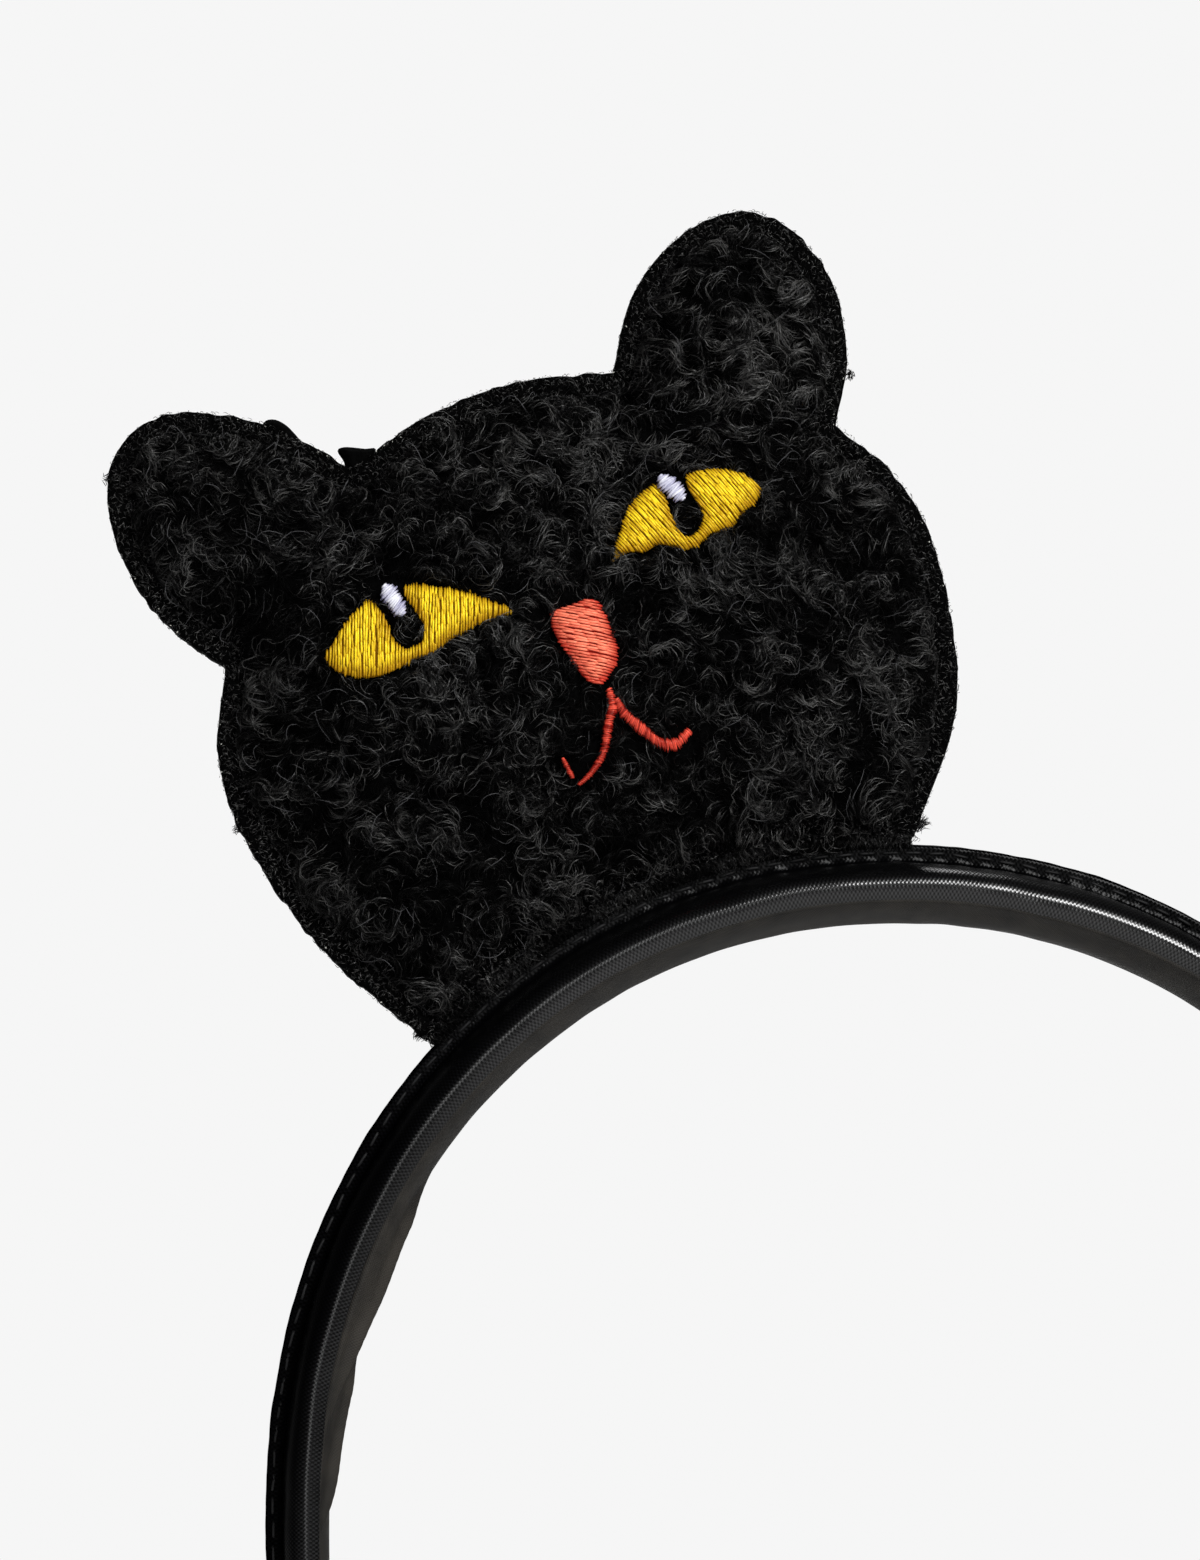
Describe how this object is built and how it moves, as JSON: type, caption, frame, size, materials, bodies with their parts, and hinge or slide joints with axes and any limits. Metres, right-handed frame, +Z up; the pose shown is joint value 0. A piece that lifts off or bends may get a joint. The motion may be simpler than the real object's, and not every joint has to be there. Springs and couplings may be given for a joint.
{
  "type": "animal ears headband",
  "caption": "Padded satin hair band with a flanged, topstitched seam and one stuffed plush cat head with two ears sewn to it off centre.",
  "frame": {"origin": "midway between the two leg tips, on the plane that they stand on", "axes": "+Z up to the apex of the arch, +X across the band to the viewer's right, -Y to the front, where the cat's face looks"},
  "size_m": [0.1619, 0.0173, 0.196],
  "materials": {
    "satin": "black satin with a fine diagonal twill and a soft sheen",
    "lining": "matt brownish dark grey cloth",
    "pile": "black curly pile",
    "core_plastic": "bare springy strip, hidden",
    "padding": "soft padding, hidden",
    "stuffing": "loose fibre filling, hidden",
    "gold_thread": "shiny embroidery thread in satin stitch",
    "white_thread": "shiny embroidery thread in satin stitch",
    "coral_thread": "shiny embroidery thread in satin stitch"
  },
  "bodies": {
    "crown": {"crown_core": "core_plastic", "crown_padding": "padding", "crown_inner_pad": "padding", "crown_cover_front": "satin", "crown_cover_back": "satin", "crown_lining": "lining"},
    "left_leg": {"left_leg_core": "core_plastic", "left_leg_padding": "padding", "left_leg_inner_pad": "padding", "left_leg_cover_front": "satin", "left_leg_cover_back": "satin", "left_leg_lining": "lining", "left_leg_end_fold": "satin"},
    "right_leg": {"right_leg_core": "core_plastic", "right_leg_padding": "padding", "right_leg_inner_pad": "padding", "right_leg_cover_front": "satin", "right_leg_cover_back": "satin", "right_leg_lining": "lining", "right_leg_end_fold": "satin"},
    "cat_head": {"head_front_panel": "pile", "head_back_panel": "pile", "head_stuffing": "stuffing", "left_eye": "gold_thread", "right_eye": "gold_thread", "left_eye_highlight": "white_thread", "right_eye_highlight": "white_thread", "nose": "coral_thread", "mouth_left_curl": "coral_thread", "mouth_right_curl": "coral_thread"}
  },
  "joints": [
    {"name": "left_leg_flex", "type": "hinge", "parent": "crown", "child": "left_leg", "pos_m": [-0.05869, 0, 0.08192], "axis": [0, 1, 0], "range_deg": [-6, 12], "stiffness_Nm_per_rad": 0.6},
    {"name": "right_leg_flex", "type": "hinge", "parent": "crown", "child": "right_leg", "pos_m": [0.05869, 0, 0.08192], "axis": [0, -1, 0], "range_deg": [-6, 12], "stiffness_Nm_per_rad": 0.6},
    {"name": "head_tilt", "type": "hinge", "parent": "crown", "child": "cat_head", "pos_m": [-0.02618, 0, 0.11178], "axis": [0.9199, 0, 0.3923], "range_deg": [-25, 25], "stiffness_Nm_per_rad": 0.08}
  ]
}
